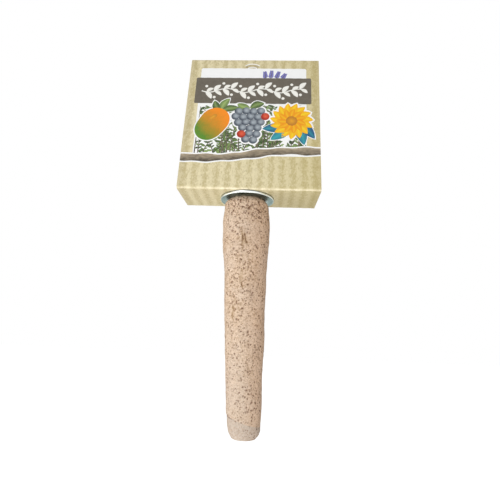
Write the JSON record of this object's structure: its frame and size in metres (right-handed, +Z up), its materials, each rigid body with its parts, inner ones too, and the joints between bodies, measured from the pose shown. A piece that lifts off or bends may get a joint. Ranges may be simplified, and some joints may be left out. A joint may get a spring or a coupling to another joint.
{
  "type": "bird perch",
  "caption": "Coated branch perch on a threaded stud, with washers and a nut, clamped through the bottom flaps of a folded corrugated card sleeve with a hang slot.",
  "frame": {"origin": "on the stud's axis, in the plane where the large washer meets the sleeve, which is where a cage's bars are clamped", "axes": "+Z up the stud, away from the branch; the sleeve's printed front panel faces -Y; +X to the right seen from the front"},
  "size_m": [0.082, 0.0324, 0.2277],
  "materials": {
    "branch_wood": "raw",
    "grit": "rough, pitted mineral grit",
    "tip_grit": "fine grit",
    "zinc_thread": "bright zinc plate",
    "zinc_washer": "bright zinc plate, stamped",
    "kraft_liner": "matt kraft paper",
    "kraft_fluting": "matt recycled paper"
  },
  "bodies": {
    "perch": {"branch_core": "branch_wood", "grit_coat": "grit", "tip_coat": "tip_grit", "hanger_stud": "zinc_thread"},
    "large_washer": {"large_washer": "zinc_washer"},
    "sleeve": {"sleeve_outer_liner": "kraft_liner", "sleeve_fluting": "kraft_fluting", "sleeve_inner_liner": "kraft_liner"},
    "small_washer": {"small_washer": "zinc_washer"},
    "nut": {"hex_nut": "zinc_thread"}
  },
  "joints": [
    {"name": "large_washer_spin", "type": "hinge", "parent": "perch", "child": "large_washer", "pos_m": [0, 0, 0], "axis": [0, 0, 1], "continuous": true},
    {"name": "sleeve_swivel", "type": "hinge", "parent": "perch", "child": "sleeve", "pos_m": [0, 0, 0], "axis": [0, 0, 1], "continuous": true},
    {"name": "small_washer_travel", "type": "slide", "parent": "perch", "child": "small_washer", "axis": [0, 0, 1], "range_m": [0, 0.02]},
    {"name": "nut_spin", "type": "hinge", "parent": "small_washer", "child": "nut", "pos_m": [0, 0, 0], "axis": [0, 0, 1], "range_deg": [0, 7200]}
  ],
  "couplings": [
    {"joint": "nut_spin", "follows": "small_washer_travel", "rad_per_m": 6283.2}
  ]
}
